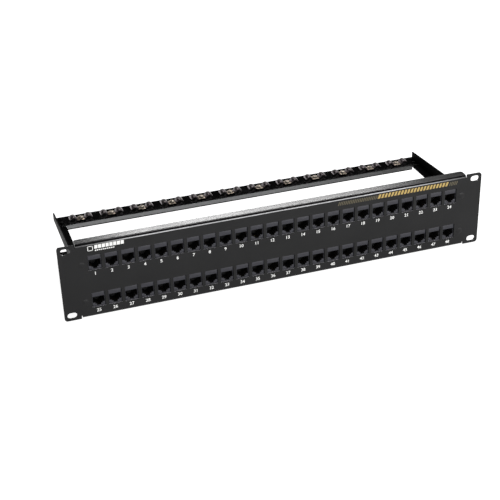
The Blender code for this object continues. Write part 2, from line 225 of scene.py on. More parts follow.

# %% [markdown]
# ## Smooth black on the arms and bars
# The brackets are dipped rather than sprayed.  The coat is thinner and smoother
# than the plate's, so it mirrors its surroundings: faces that look at the pale
# floor turn grey while faces that look at a dark ceiling go fully black.  The
# bars' coat is denser and mirrors more than the arms'.  The grey finish of the
# bars' front lips is a painted reflection of the pale floor, and the darker,
# duller black on the arms' inner and upper faces is painted shade.  One
# function makes all four.

# %% Dipped coats
def dipped_coat(name, dark, light, roughness, ior):
    """Make a smooth dipped coat with faint ripples."""
    finish, tree, shader, coords = start_finish(name, dark, roughness, ior=ior)
    drift = add_node(tree, "ShaderNodeTexNoise",
                     {"Scale": cells(25), "Detail": 2.0}, {"Vector": coords})
    shade = add_node(tree, "ShaderNodeMix",
                     {"data_type": "RGBA", 6: linear(dark), 7: linear(light)},
                     {0: drift.outputs["Fac"]})
    tree.links.new(shade.outputs[2], shader.inputs["Base Color"])
    gloss = add_node(tree, "ShaderNodeMapRange",
                     {"From Min": 0.3, "From Max": 0.7,
                      "To Min": roughness - 0.05, "To Max": roughness + 0.05},
                     {"Value": drift.outputs["Fac"]})
    tree.links.new(gloss.outputs["Result"], shader.inputs["Roughness"])
    ripple = add_node(tree, "ShaderNodeTexNoise",
                      {"Scale": cells(2.5), "Detail": 1.0}, {"Vector": coords})
    bump = add_node(tree, "ShaderNodeBump",
                    {"Strength": 0.12, "Distance": 0.04 * MM},
                    {"Height": ripple.outputs["Fac"]})
    tree.links.new(bump.outputs["Normal"], shader.inputs["Normal"])
    return finish


arm_coat = dipped_coat("smooth_black_dipped_coat", "#0a0a0b", "#101012", 0.6, 1.2)
bar_coat = dipped_coat("dense_black_dipped_coat", "#040405", "#080809", 0.12, 1.25)
# Painted reflection: the lips' grey stands for the pale floor mirrored in them.
lip_reflection_coat = dipped_coat("thin_grey_dipped_coat", "#aeaeb0", "#bababb", 0.35, 1.45)
# Painted shade: a darker, duller copy of the arm coat for faces turned inward or up.
arm_shade_coat = dipped_coat("dull_black_inner_coat", "#040404", "#070708", 0.6, 1.08)
print("made", arm_coat.name, bar_coat.name, lip_reflection_coat.name, arm_shade_coat.name)

# %% [markdown]
# ## Where the lips' painted reflection fades
# The painted reflection on the lips grows darker towards the right end, which
# is painted shade.  A mix along X adds that to the lips' colour: the finish made
# above stays on the left, and a darker grey takes over from near the middle to
# the end.

# %% Painted shade towards the right end of the lips
tree = lip_reflection_coat.node_tree
shader = tree.nodes["Principled BSDF"]
painted_reflection_grey = shader.inputs["Base Color"].links[0].from_socket
place = add_node(tree, "ShaderNodeTexCoord").outputs["Object"]
split = add_node(tree, "ShaderNodeSeparateXYZ", {}, {0: place})
reflection_falloff = add_node(tree, "ShaderNodeMapRange",
                   {"From Min": 30 * MM, "From Max": 220 * MM},
                   {"Value": split.outputs["X"]})
shade = add_node(tree, "ShaderNodeMix", {"data_type": "RGBA", 7: linear("#585859")},
                 {0: reflection_falloff.outputs["Result"], 6: painted_reflection_grey})
tree.links.new(shade.outputs[2], shader.inputs["Base Color"])
print("lips darken to the right in", lip_reflection_coat.name)

# %% [markdown]
# ## Moulded jack plastic
# Jack housings are injection moulded in glass-filled polyester.  The mould is
# spark eroded, which leaves a dull, very even grain, and the glass makes the
# dark grey slightly blue and mottled.  The walls deep inside the sockets get a
# second, darker finish with almost no gloss, which is painted shade.

# %% Jack moulding
jack_plastic, tree, shader, coords = start_finish(
    "moulded_glass_filled_polyester", "#202026", 0.45, ior=1.36)
mottle = add_node(tree, "ShaderNodeTexNoise",
                  {"Scale": cells(6), "Detail": 4.0}, {"Vector": coords})
shade = add_node(tree, "ShaderNodeMix",
                 {"data_type": "RGBA", 6: linear("#1b1b21"), 7: linear("#26262d")},
                 {0: mottle.outputs["Fac"]})
tree.links.new(shade.outputs[2], shader.inputs["Base Color"])
grain = add_node(tree, "ShaderNodeTexNoise",
                 {"Scale": cells(0.5), "Detail": 1.0}, {"Vector": coords})
bump = add_node(tree, "ShaderNodeBump", {"Strength": 0.2, "Distance": 0.03 * MM},
                {"Height": grain.outputs["Fac"]})
tree.links.new(bump.outputs["Normal"], shader.inputs["Normal"])

# Painted shade: the near-black finish for the walls inside the sockets.
socket_shade_plastic, tree, shader, coords = start_finish(
    "dull_black_socket_lining", "#050506", 0.7, ior=1.3)
mottle = add_node(tree, "ShaderNodeTexNoise",
                  {"Scale": cells(3), "Detail": 2.0}, {"Vector": coords})
shade = add_node(tree, "ShaderNodeMix",
                 {"data_type": "RGBA", 6: linear("#040405"), 7: linear("#08080a")},
                 {0: mottle.outputs["Fac"]})
tree.links.new(shade.outputs[2], shader.inputs["Base Color"])
print("made", jack_plastic.name, socket_shade_plastic.name)

# %% [markdown]
# ## Plated metals
# The cable saddles are spring steel with a dull tin plate, and their tips and
# rear top edges get a paler tin that is a painted highlight.  Their screws have
# a yellow chromate over zinc, duller on the clamps below, and the arm nuts are
# bright zinc.  The contact springs are phosphor bronze with a gold flash, and
# the boards' joints are tin solder.  Each is fully metallic, and noise in the
# colour and the roughness stands for the patchy crystals and stains that baths
# leave.

# %% Plated metal finishes
def plated_metal(name, dark, light, roughness, patch_mm):
    """Make a plated metal whose colour and gloss vary in patches."""
    finish, tree, shader, coords = start_finish(name, light, roughness, 1.0)
    patches = add_node(tree, "ShaderNodeTexNoise",
                       {"Scale": cells(patch_mm), "Detail": 3.0},
                       {"Vector": coords})
    shade = add_node(tree, "ShaderNodeMix",
                     {"data_type": "RGBA", 6: linear(dark), 7: linear(light)},
                     {0: patches.outputs["Fac"]})
    tree.links.new(shade.outputs[2], shader.inputs["Base Color"])
    gloss = add_node(tree, "ShaderNodeMapRange",
                     {"From Min": 0.3, "From Max": 0.7,
                      "To Min": roughness - 0.08, "To Max": roughness + 0.1},
                     {"Value": patches.outputs["Fac"]})
    tree.links.new(gloss.outputs["Result"], shader.inputs["Roughness"])
    fine = add_node(tree, "ShaderNodeTexNoise",
                    {"Scale": cells(0.6), "Detail": 1.0}, {"Vector": coords})
    bump = add_node(tree, "ShaderNodeBump",
                    {"Strength": 0.15, "Distance": 0.03 * MM},
                    {"Height": fine.outputs["Fac"]})
    tree.links.new(bump.outputs["Normal"], shader.inputs["Normal"])
    return finish


tin_plate = plated_metal("dull_tin_plated_spring_steel", "#4a4446", "#6b6466", 0.3, 3)
saddle_highlight_tin = plated_metal("thin_tin_on_cut_edges", "#8e888a", "#b4aeb0", 0.36, 3)
clamp_zinc = plated_metal("dull_yellow_chromate", "#9f9082", "#cdbfb0", 0.38, 2)
yellow_zinc = plated_metal("yellow_chromate_on_zinc", "#c6b7a6", "#f2e8dc", 0.34, 2)
bright_zinc = plated_metal("bright_zinc_plate", "#9c9b98", "#c9c8c4", 0.3, 2)
gold_flash = plated_metal("gold_flashed_phosphor_bronze", "#c79a45", "#e8c06a", 0.25, 2)
solder = plated_metal("tin_solder", "#8f9092", "#c4c5c8", 0.3, 1)
metals = (tin_plate, saddle_highlight_tin, clamp_zinc, yellow_zinc, bright_zinc, gold_flash, solder)
print("made", [metal.name for metal in metals])

# %% [markdown]
# ## Circuit board
# The boards are glass laminate under a green solder mask.  Copper lifts the mask
# by a few hundredths of a millimetre and reads as paler stripes, so a band wave,
# bent a little by noise, gives them.  Single tracks would be too fine to show,
# so the stripes are 16 mm apart: a wave repeats about three times in each unit
# of its scale.

# %% Solder mask
solder_mask, tree, shader, coords = start_finish(
    "green_solder_mask", "#0f4a2a", 0.35)
tracks = add_node(tree, "ShaderNodeTexWave",
                  {"wave_type": "BANDS", "bands_direction": "X",
                   "Scale": cells(50.8), "Distortion": 0.6,
                   "Detail": 0.0, "Detail Scale": 1.0},
                  {"Vector": coords})
sharp = add_node(tree, "ShaderNodeValToRGB", {}, {"Fac": tracks.outputs["Fac"]})
sharp.color_ramp.elements[0].position = 0.62
sharp.color_ramp.elements[1].position = 0.7
shade = add_node(tree, "ShaderNodeMix",
                 {"data_type": "RGBA", 6: linear("#0d4226"), 7: linear("#1c6a3c")},
                 {0: sharp.outputs["Color"]})
tree.links.new(shade.outputs[2], shader.inputs["Base Color"])
bump = add_node(tree, "ShaderNodeBump", {"Strength": 0.4, "Distance": 0.04 * MM},
                {"Height": sharp.outputs["Color"]})
tree.links.new(bump.outputs["Normal"], shader.inputs["Normal"])
print("made", solder_mask.name)

# %% [markdown]
# ## Screen-printed inks
# Numerals and marks are screen printed.  Ink laid through a mesh is flat and
# matt, with faint pinholes where the powder coat's pebble pokes through.

# %% Inks
def printed_ink(name, thick, thin, roughness):
    """Make a matt printed ink with faint unevenness."""
    finish, tree, shader, coords = start_finish(name, thick, roughness)
    weave = add_node(tree, "ShaderNodeTexNoise",
                     {"Scale": cells(0.9), "Detail": 2.0}, {"Vector": coords})
    shade = add_node(tree, "ShaderNodeMix",
                     {"data_type": "RGBA", 6: linear(thin), 7: linear(thick)},
                     {0: weave.outputs["Fac"]})
    tree.links.new(shade.outputs[2], shader.inputs["Base Color"])
    return finish


white_ink = printed_ink("white_screen_ink", "#d8d8d6", "#c0c0be", 0.6)
gold_ink = printed_ink("gold_screen_ink", "#a8904c", "#84692a", 0.5)
dim_gold_ink = printed_ink("thin_gold_screen_ink", "#4c4327", "#383118", 0.55)
print("made", white_ink.name, gold_ink.name, dim_gold_ink.name)

# %% [markdown]
# ## Turning shapes into pieces
# Every piece is built in a bmesh, Blender's editable mesh.  The finished piece
# keeps its object at the origin and its place in its mesh, which is how the CAD
# nodes come, so patterns that read object coordinates line up everywhere.

# %% Piece helpers
def finish_piece(shape, name, finish, nodes=(), smooth=None, second=None):
    """Turn a bmesh into a piece that rides on the panel."""
    mesh = bpy.data.meshes.new(name)
    shape.to_mesh(mesh)
    shape.free()
    piece = bpy.data.objects.new(name, mesh)
    bpy.context.scene.collection.objects.link(piece)
    mesh.materials.append(finish)
    if second is not None:
        mesh.materials.append(second)
    if smooth is not None:
        mesh.shade_smooth()
        mesh.set_sharp_from_angle(angle=math.radians(smooth))
    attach(piece, "root")
    if nodes:
        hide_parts(*nodes)
    return piece


def copy_of_node(node):
    """Copy a CAD node's triangles, welded and cleaned of flat edges."""
    shape = bmesh.new()
    shape.from_mesh(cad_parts[node].data)
    bmesh.ops.remove_doubles(shape, verts=shape.verts, dist=0.001 * MM)
    bmesh.ops.dissolve_limit(shape, angle_limit=math.radians(0.5),
                             verts=shape.verts, edges=shape.edges)
    return shape


def round_edges(shape, chosen, radius, segments):
    """Bevel chosen edges of a bmesh."""
    bmesh.ops.bevel(shape, geom=chosen, offset=radius, offset_type="OFFSET",
                    affect="EDGES", segments=segments, profile=0.5,
                    material=-1, clamp_overlap=True)


def sharp_edges(shape, degrees):
    """List the edges whose faces turn by more than an angle."""
    limit = math.radians(degrees)
    return [e for e in shape.edges
            if len(e.link_faces) == 2 and e.calc_face_angle() > limit]


def place_box(shape, low, high):
    """Add a box between two corners to a bmesh."""
    size = [b - a for a, b in zip(low, high)]
    middle = [(a + b) / 2 for a, b in zip(low, high)]
    matrix = Matrix.Translation(middle) @ Matrix.Diagonal((*size, 1.0))
    return bmesh.ops.create_cube(shape, size=1.0, matrix=matrix)["verts"]


print("piece helpers ready")

# %% [markdown]
# ## Front plate
# On the real panel the plate is one punched and folded sheet.  Its CAD node has
# the right outline with knife-sharp edges, and baked powder always rounds an
# edge, so a welded copy gets a small bevel on every sharp edge.  The up-facing
# sills of the windows get a paler finish, which is a painted highlight.

# %% Front plate
WINDOW_AREA = (212 * MM, 36 * MM)
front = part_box("front_plate")[0].y
shape = copy_of_node("front_plate")
round_edges(shape, sharp_edges(shape, 40), 0.22 * MM, 2)
sills = 0
for face in shape.faces:
    spot = face.calc_center_median()
    in_a_window = abs(spot.x) < WINDOW_AREA[0] and abs(spot.z) < WINDOW_AREA[1]
    # Up-facing sills inside the windows take the paler finish, a painted highlight.
    if in_a_window and face.normal.z > 0.6 and spot.y < 0:
        face.material_index = 1
        sills += 1
plate = finish_piece(shape, "folded_front_plate", powder_coat,
                     ["front_plate"], smooth=25,
                     second=sill_highlight_finish)
print("window sills:", sills)
plate.modifiers.new("even_shading", "WEIGHTED_NORMAL").keep_sharp = True
print("plate faces:", len(plate.data.polygons))

# %% [markdown]
# ## Clinch stud heads
# Each arm hangs on a stud pressed into the plate.  The pressed head stays just
# visible through the paint as a faint round rise, made here from a short wide
# cylinder whose front rim is bevelled.

# %% Clinch stud heads
HEAD_RADIUS = 3.8 * MM
HEAD_DEPTH = 0.9 * MM
HEAD_CENTRE = 0.35 * MM

for row in ("upper", "lower"):
    for side in ("left", "right"):
        nut_low, nut_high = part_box(f"{row}_{side}_arm_nut")
        middle = (nut_low + nut_high) / 2
        shape = bmesh.new()
        spot = Matrix.Translation((middle.x, front + HEAD_CENTRE, middle.z))
        bmesh.ops.create_cone(shape, cap_ends=True, segments=32,
                              radius1=HEAD_RADIUS, radius2=HEAD_RADIUS,
                              depth=HEAD_DEPTH,
                              matrix=spot @ Matrix.Rotation(math.pi / 2, 4, "X"))
        rim = [e for e in shape.edges
               if all(v.co.y < front + 0.1 * MM for v in e.verts)]
        round_edges(shape, rim, 0.09 * MM, 2)
        finish_piece(shape, f"{row}_{side}_stud_head", powder_coat,
                     smooth=50)
print("stud heads at z", round(middle.z / MM, 2), "mm")

# %% [markdown]
# ## Bracket arms
# An arm is a strip of sheet bent into an L with a small tab in front.  A press
# brake leaves a generous outside radius along the bend and a tiny one on the
# cut edges, so the long outer corner gets its own wide bevel first.

# %% Bracket arms
def long_corner(edge, axis, spots):
    """Say whether an edge runs along an axis through given coordinates."""
    a, b = edge.verts[0].co, edge.verts[1].co
    if abs(a[axis] - b[axis]) < 20 * MM:
        return False
    return all(abs(a[i] - v) < 0.05 * MM and abs(b[i] - v) < 0.05 * MM
               for i, v in spots.items())


for row in ("upper", "lower"):
    for side, sign in (("left", -1), ("right", 1)):
        node = f"{row}_{side}_arm"
        low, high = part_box(node)
        outer = low.x if sign < 0 else high.x
        shape = copy_of_node(node)
        bend = [e for e in shape.edges
                if long_corner(e, 1, {0: outer, 2: low.z})]
        round_edges(shape, bend, 1.1 * MM, 4)
        round_edges(shape, sharp_edges(shape, 40), 0.18 * MM, 2)
        # Faces turned inward or up take the darker second coat, which is painted shade.
        for face in shape.faces:
            shaded_face = face.normal.x * sign < -0.5 or face.normal.z > 0.5
            face.material_index = 1 if shaded_face else 0
        arm = finish_piece(shape, f"{node}_bent_sheet", arm_coat,
                           [node], smooth=25,
                           second=arm_shade_coat)
        arm.modifiers.new("even_shading", "WEIGHTED_NORMAL").keep_sharp = True
print("arm length:", round((high.y - low.y) / MM, 1), "mm")

# %% [markdown]
# ## Cable bars
# Each bar is a strip with its front edge folded down to stiffen it.  The fold
# gets a wide bevel, the cut edges a small one.  A cut along the lip separates
# its grey face, a painted reflection, from the edge below it, which stays black.

# %% Cable bars
LIP_EDGE = 1.3 * MM

for row in ("upper", "lower"):
    node = f"{row}_cable_bar"
    low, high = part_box(node)
    shape = copy_of_node(node)
    fold = [e for e in shape.edges
            if long_corner(e, 0, {1: low.y, 2: high.z})]
    round_edges(shape, fold, 0.9 * MM, 4)
    round_edges(shape, sharp_edges(shape, 40), 0.15 * MM, 2)
    everything = shape.verts[:] + shape.edges[:] + shape.faces[:]
    bmesh.ops.bisect_plane(shape, geom=everything, dist=0.001 * MM,
                           plane_co=(0, 0, low.z + LIP_EDGE), plane_no=(0, 0, 1))
    for face in shape.faces:
        spot = face.calc_center_median()
        front_face = face.normal.y < -0.9 and spot.y < low.y + 0.2 * MM
        # The lip's front face takes the grey finish, a painted reflection of the floor.
        if front_face and spot.z > low.z + LIP_EDGE:
            face.material_index = 1
    bar = finish_piece(shape, f"{node}_folded_strip", bar_coat,
                       [node], smooth=25, second=lip_reflection_coat)
    bar.modifiers.new("even_shading", "WEIGHTED_NORMAL").keep_sharp = True
bar_top = {"upper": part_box("upper_cable_bar")[1].z,
           "lower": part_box("lower_cable_bar")[1].z}
print("bar tops:", {k: round(v / MM, 2) for k, v in bar_top.items()})

# %% [markdown]
# ## Cable saddles
# A saddle is a stamped strip of spring steel with two round arches and a flat
# valley for its screw.  Its side view is a chain of short edges: a foot bend, a
# straight flank and a crown.  Extruding the chain makes the strip, solidify
# gives the sheet its thickness, and a bevel softens its cut edges.  Its tips and
# rear top edges are paler, which is a painted highlight.

# %% Cable saddles
saddle_low, saddle_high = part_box("upper_saddle_01")
VALLEY_HALF = 3.8 * MM
FOOT_RADIUS = 1.4 * MM
CROWN_RADII = (3.0 * MM, 4.0 * MM)
CREST_RISE = 4.3 * MM
TIP_RISE = 1.9 * MM
FLANK = math.radians(65)
STRIP = 1.0 * MM
HIGHLIGHT_TIP = 1.0 * MM


def stamping_side(steps):
    """Points (x, z) under one half of the strip, from the valley outwards."""
    points = []
    for i in range(steps + 1):
        turn = FLANK * i / steps
        points.append((VALLEY_HALF + FOOT_RADIUS * math.sin(turn),
                       FOOT_RADIUS * (1 - math.cos(turn))))
    inner, outer = CROWN_RADII
    centre = CREST_RISE - inner
    rise = centre + inner * math.cos(FLANK) - points[-1][1]
    crest = points[-1][0] + rise / math.tan(FLANK) + inner * math.sin(FLANK)
    for i in range(steps + 1):
        turn = FLANK * (1 - i / steps)
        points.append((crest - inner * math.sin(turn),
                       centre + inner * math.cos(turn)))
    centre = CREST_RISE - outer
    last = math.acos((TIP_RISE - centre) / outer)
    for i in range(1, steps + 1):
        turn = last * i / steps
        points.append((crest + outer * math.sin(turn),
                       centre + outer * math.cos(turn)))
    return points


shape = bmesh.new()
depth = saddle_high.y - saddle_low.y
side = stamping_side(7)
chain = [(-x, z) for x, z in reversed(side)] + side
points = [shape.verts.new((x, -depth / 2, z)) for x, z in chain]
edges = [shape.edges.new(pair) for pair in zip(points, points[1:])]
grown = bmesh.ops.extrude_edge_only(shape, edges=edges)["geom"]
moved = [v for v in grown if isinstance(v, bmesh.types.BMVert)]
bmesh.ops.translate(shape, verts=moved, vec=(0, depth, 0))
bmesh.ops.recalc_face_normals(shape, faces=shape.faces)
if sum(face.normal.z for face in shape.faces) < 0:
    bmesh.ops.reverse_faces(shape, faces=shape.faces)
bmesh.ops.solidify(shape, geom=shape.faces[:], thickness=-STRIP)
lowest = min(v.co.z for v in shape.verts)
bmesh.ops.translate(shape, verts=shape.verts, vec=(0, 0, -lowest))
bmesh.ops.recalc_face_normals(shape, faces=shape.faces)
round_edges(shape, sharp_edges(shape, 50), 0.16 * MM, 2)
tip = max(vert.co.x for vert in shape.verts)
print("saddle reaches", round(tip / MM, 2), "and rises",
      round(max(vert.co.z for vert in shape.verts) / MM, 2), "mm")
# Tips and rear top faces take the paler tin, a painted highlight.
for face in shape.faces:
    spot = face.calc_center_median()
    at_tip = abs(spot.x) > tip - HIGHLIGHT_TIP and abs(face.normal.y) < 0.7
    at_back = face.normal.y > 0.3 and face.normal.z > 0.3
    face.material_index = 1 if at_tip or at_back else 0
saddle_mesh = bpy.data.meshes.new("saddle_pattern")
shape.to_mesh(saddle_mesh)
shape.free()


def place_pattern(pattern, spot):
    """Start a bmesh from a pattern mesh moved to a spot."""
    copy = bmesh.new()
    copy.from_mesh(pattern)
    bmesh.ops.translate(copy, verts=copy.verts, vec=spot)
    return copy


print("saddle faces:", len(saddle_mesh.polygons), "depth", round(depth / MM, 2))

# %% [markdown]
# ## Saddle screws
# The saddles are held by pan-head machine screws with a cross recess.  The head
# is a profile spun around its axis.  A tapering cross, cut with a boolean, makes
# the recess that the screwdriver needs.  The cross is one extruded outline, as
# two boxes that overlap would confuse the boolean.

# %% Screw pattern
def combine(shape, other, how):
    """Run an exact boolean between two bmeshes and return a mesh."""
    made = []
    for part, title in ((shape, "first"), (other, "second")):
        mesh = bpy.data.meshes.new(title)
        part.to_mesh(mesh)
        part.free()
        item = bpy.data.objects.new(title, mesh)
        bpy.context.scene.collection.objects.link(item)
        made.append(item)
    step = made[0].modifiers.new(how.lower(), "BOOLEAN")
    step.operation = how
    step.solver = "EXACT"
    step.object = made[1]
    bpy.context.view_layer.update()
    seen = made[0].evaluated_get(bpy.context.evaluated_depsgraph_get())
    result = bpy.data.meshes.new_from_object(seen)
    for item in made:
        bpy.data.objects.remove(item)
    return result


def pan_head(radius, height):
    """Spin a pan head that sits on z = 0, and cut its cross recess."""
    shape = bmesh.new()
    profile = [(0.0, 1.0), (0.45, 0.97), (0.72, 0.84), (0.9, 0.6), (1.0, 0.28),
               (1.0, 0.0), (0.0, 0.0)]
    points = [shape.verts.new((r * radius, 0, z * height)) for r, z in profile]
    edges = [shape.edges.new(pair) for pair in zip(points, points[1:])]
    bmesh.ops.spin(shape, geom=points + edges, cent=(0, 0, 0), axis=(0, 0, 1),
                   angle=2 * math.pi, steps=24, use_merge=True)
    bmesh.ops.remove_doubles(shape, verts=shape.verts, dist=0.005 * MM)
    bmesh.ops.recalc_face_normals(shape, faces=shape.faces)
    cross = bmesh.new()
    arm = radius * 0.62
    thin = radius * 0.15
    outline = [(arm, thin), (thin, thin), (thin, arm), (-thin, arm),
               (-thin, thin), (-arm, thin), (-arm, -thin), (-thin, -thin),
               (-thin, -arm), (thin, -arm), (thin, -thin), (arm, -thin)]
    ring = [cross.verts.new((x, y, height * 1.2)) for x, y in outline]
    face = cross.faces.new(ring)
    grown = bmesh.ops.extrude_face_region(cross, geom=[face])["geom"]
    floor_verts = [v for v in grown if isinstance(v, bmesh.types.BMVert)]
    bmesh.ops.translate(cross, verts=floor_verts, vec=(0, 0, -height * 0.9))
    bmesh.ops.scale(cross, verts=floor_verts, vec=(0.55, 0.55, 1))
    bmesh.ops.recalc_face_normals(cross, faces=cross.faces)
    return combine(shape, cross, "DIFFERENCE")


screw_mesh = pan_head(3.2 * MM, 2.1 * MM)
print("screw faces:", len(screw_mesh.polygons))

# %% [markdown]
# ## Saddles and screws in place
# Every saddle stands on its bar in the middle of its CAD node.  Its screw presses
# on the valley through a thin square clamp, a bevelled box.  Screws stop where
# they happen to be tight, so each recess is turned by an angle of its own.

# %% Place saddles and screws
SEAT_GAP = 0.3 * MM
CLAMP = 0.35 * MM
CLAMP_HALF = 3.7 * MM
CLAMP_MARGIN = 0.15 * MM
SINK = 0.05 * MM

for row in ("upper", "lower"):
    for number in range(1, 13):
        node = f"{row}_saddle_{number:02d}"
        low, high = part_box(node)
        middle = (low + high) / 2
        seat = bar_top[row] + SEAT_GAP
        strip = place_pattern(saddle_mesh, (middle.x, middle.y, seat))
        finish_piece(strip, f"{node}_strip", tin_plate,
                     [node], smooth=30, second=saddle_highlight_tin)
        top = seat + STRIP
        head = place_pattern(screw_mesh, (middle.x, middle.y, top + CLAMP))
        turn = Matrix.Rotation(math.radians(37 * number + 11), 4, "Z")
        bmesh.ops.rotate(head, verts=head.verts, matrix=turn.to_3x3(),
                         cent=(middle.x, middle.y, seat))
        corners = place_box(
            head, (middle.x - CLAMP_HALF, low.y + CLAMP_MARGIN, top - SINK),
            (middle.x + CLAMP_HALF, high.y - CLAMP_MARGIN, top + CLAMP))
        edges = {edge for vert in corners for edge in vert.link_edges}
        round_edges(head, list(edges), 0.12 * MM, 2)
        for face in head.faces:
            spot = face.calc_center_median()
            face.material_index = 1 if spot.z < top + CLAMP + 0.01 * MM else 0
        finish_piece(head, f"{node}_screw", yellow_zinc,
                     smooth=35, second=clamp_zinc)
print("saddles placed on both bars")

# %% [markdown]
# ## Bar end screws
# Each bar end sits on an arm's flange and is held by two small black screws, one
# behind the other.  They are smaller heads from the same function.

# %% Bar end screws
END_SCREW_X = 217.0 * MM
end_screw_mesh = pan_head(2.2 * MM, 1.3 * MM)
for row in ("upper", "lower"):
    bar_low, bar_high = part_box(f"{row}_cable_bar")
    for side, sign in (("left", -1), ("right", 1)):
        for share in (0.3, 0.75):
            spot = (sign * END_SCREW_X,
                    bar_low.y + share * (bar_high.y - bar_low.y), bar_high.z)
            head = place_pattern(end_screw_mesh, spot)
            finish_piece(head, f"{row}_{side}_bar_screw_{int(share * 100)}",
                         arm_coat, smooth=35)
print("bar end screws placed")

# %% [markdown]
# ## Arm nuts
# Behind the plate each stud carries a hexagon nut on a flat washer.  The hexagon
# is a six-sided cylinder whose corners are bevelled, and the thread is a zigzag
# profile spun around the stud.

# %% Arm nuts
HEX_RADIUS, HEX_DEPTH = 3.17 * MM, 2.4 * MM
FLAT_RADIUS, FLAT_DEPTH = 3.7 * MM, 0.5 * MM
THREAD = (1.27 * MM, 1.5 * MM)
THREAD_STEPS = 12

for row in ("upper", "lower"):
    for side in ("left", "right"):
        node = f"{row}_{side}_arm_nut"
        low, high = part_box(node)
        middle = (low + high) / 2
        shape = bmesh.new()
        seat = low.y + 1.8 * MM
        lay = Matrix.Rotation(-math.pi / 2, 4, "X")
        bmesh.ops.create_cone(
            shape, cap_ends=True, segments=6, radius1=HEX_RADIUS,
            radius2=HEX_RADIUS, depth=HEX_DEPTH,
            matrix=Matrix.Translation((middle.x, seat + 1.2 * MM, middle.z)) @ lay)
        round_edges(shape, shape.edges[:], 0.22 * MM, 2)
        bmesh.ops.create_cone(
            shape, cap_ends=True, segments=28, radius1=FLAT_RADIUS,
            radius2=FLAT_RADIUS, depth=FLAT_DEPTH,
            matrix=Matrix.Translation((middle.x, seat + 0.2 * MM, middle.z)) @ lay)
        profile = [(0.0, low.y), (1.3 * MM, low.y)]
        for i in range(THREAD_STEPS + 1):
            y = low.y + (high.y - low.y) * (i + 0.5) / (THREAD_STEPS + 1)
            profile.append((THREAD[i % 2], y))
        profile += [(1.2 * MM, high.y), (0.0, high.y)]
        points = [shape.verts.new((middle.x + r, y, middle.z)) for r, y in profile]
        edges = [shape.edges.new(pair) for pair in zip(points, points[1:])]
        bmesh.ops.spin(shape, geom=points + edges,
                       cent=(middle.x, 0, middle.z), axis=(0, 1, 0),
                       angle=2 * math.pi, steps=20, use_merge=True)
        bmesh.ops.remove_doubles(shape, verts=shape.verts, dist=0.005 * MM)
        bmesh.ops.recalc_face_normals(shape, faces=shape.faces)
        finish_piece(shape, f"{node}_and_stud", bright_zinc,
                     [node], smooth=30)
print("arm nuts placed")

# %% [markdown]
# ## Jack blocks
# Six jacks share one moulding.  The visible shape is a bevelled block with six
# raised noses that stand in the plate's windows, and six sockets.  A socket has
# a wide mouth for the plug and two steps below it for the latch.  One front and
# one rear block are made, their sockets are cut with a boolean, and copies are
# moved to each place.

# %% Jack block pattern
PITCH = 17.7 * MM
TOP_OF_MOUTH = 3.1 * MM
MOUTH = (6.3 * MM, 7.2 * MM)
LATCH_STEPS = ((3.9 * MM, 1.35 * MM), (2.3 * MM, 1.95 * MM))
POCKET = 12.2 * MM
NOSE = (6.9 * MM, 8.35 * MM)
SHADED_WALL_HALF = 6.7 * MM
SHADED_WALL_HEIGHTS = (-7.6 * MM, 3.2 * MM)


def socket_tool(tool, x, mouth_y, inward):
    """Add a stepped socket shape to a cutting bmesh."""
    outline = [(MOUTH[0], TOP_OF_MOUTH)]
    level = TOP_OF_MOUTH - MOUTH[1]
    outline.append((MOUTH[0], level))
    for half, drop in LATCH_STEPS:
        outline += [(half, level), (half, level - drop)]
        level -= drop
    outline += [(-px, pz) for px, pz in reversed(outline)]
    start = mouth_y - inward * 2 * MM
    ring = [tool.verts.new((x + px, start, pz)) for px, pz in outline]
    face = tool.faces.new(ring)
    grown = bmesh.ops.extrude_face_region(tool, geom=[face])["geom"]
    moved = [v for v in grown if isinstance(v, bmesh.types.BMVert)]
    bmesh.ops.translate(tool, verts=moved, vec=(0, inward * (POCKET + 2 * MM), 0))
    bmesh.ops.recalc_face_normals(tool, faces=tool.faces)


def jack_block(node, nosed):
    """Make one block as deep as a CAD node, centred on x = z = 0."""
    low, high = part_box(node)
    body_front = 0.3 * MM if nosed else low.y
    half_x = (high.x - low.x) / 2
    half_z = (high.z - low.z) / 2
    shape = bmesh.new()
    place_box(shape, (-half_x, body_front, -half_z), (half_x, high.y, half_z))
    round_edges(shape, shape.edges[:], 0.35 * MM, 2)
    spots = [(i - 2.5) * PITCH for i in range(6)]
    if nosed:
        noses = bmesh.new()
        for x in spots:
            place_box(noses, (x - NOSE[0], low.y, -NOSE[1]),
                      (x + NOSE[0], body_front + 1.5 * MM, NOSE[1]))
        fronts = [e for e in noses.edges
                  if all(v.co.y < low.y + 0.01 * MM for v in e.verts)]
        round_edges(noses, fronts, 0.25 * MM, 2)
        joined = combine(shape, noses, "UNION")
        shape = bmesh.new()
        shape.from_mesh(joined)
    mouth_y, inward = (low.y, 1) if nosed else (high.y, -1)
    tool = bmesh.new()
    for x in spots:
        socket_tool(tool, x, mouth_y, inward)
    result = combine(shape, tool, "DIFFERENCE")
    shape = bmesh.new()
    shape.from_mesh(result)
    bmesh.ops.dissolve_limit(shape, angle_limit=math.radians(0.5),
                             verts=shape.verts, edges=shape.edges)
    mouth = [e for e in sharp_edges(shape, 60)
             if all(abs(v.co.y - mouth_y) < 0.01 * MM for v in e.verts)]
    round_edges(shape, mouth, 0.18 * MM, 2)
    # Walls deeper than 1 mm inside a socket take the painted shade finish.
    for face in shape.faces:
        spot = face.calc_center_median()
        off = min(abs(spot.x - x) for x in spots)
        deep = (spot.y - mouth_y) * inward
        shaded_wall = off < SHADED_WALL_HALF and SHADED_WALL_HEIGHTS[0] < spot.z < SHADED_WALL_HEIGHTS[1]
        if shaded_wall and 1.0 * MM < deep < POCKET + 0.1 * MM:
            face.material_index = 1
    pattern = bpy.data.meshes.new("jack_block_pattern")
    shape.to_mesh(pattern)
    shape.free()
    return pattern


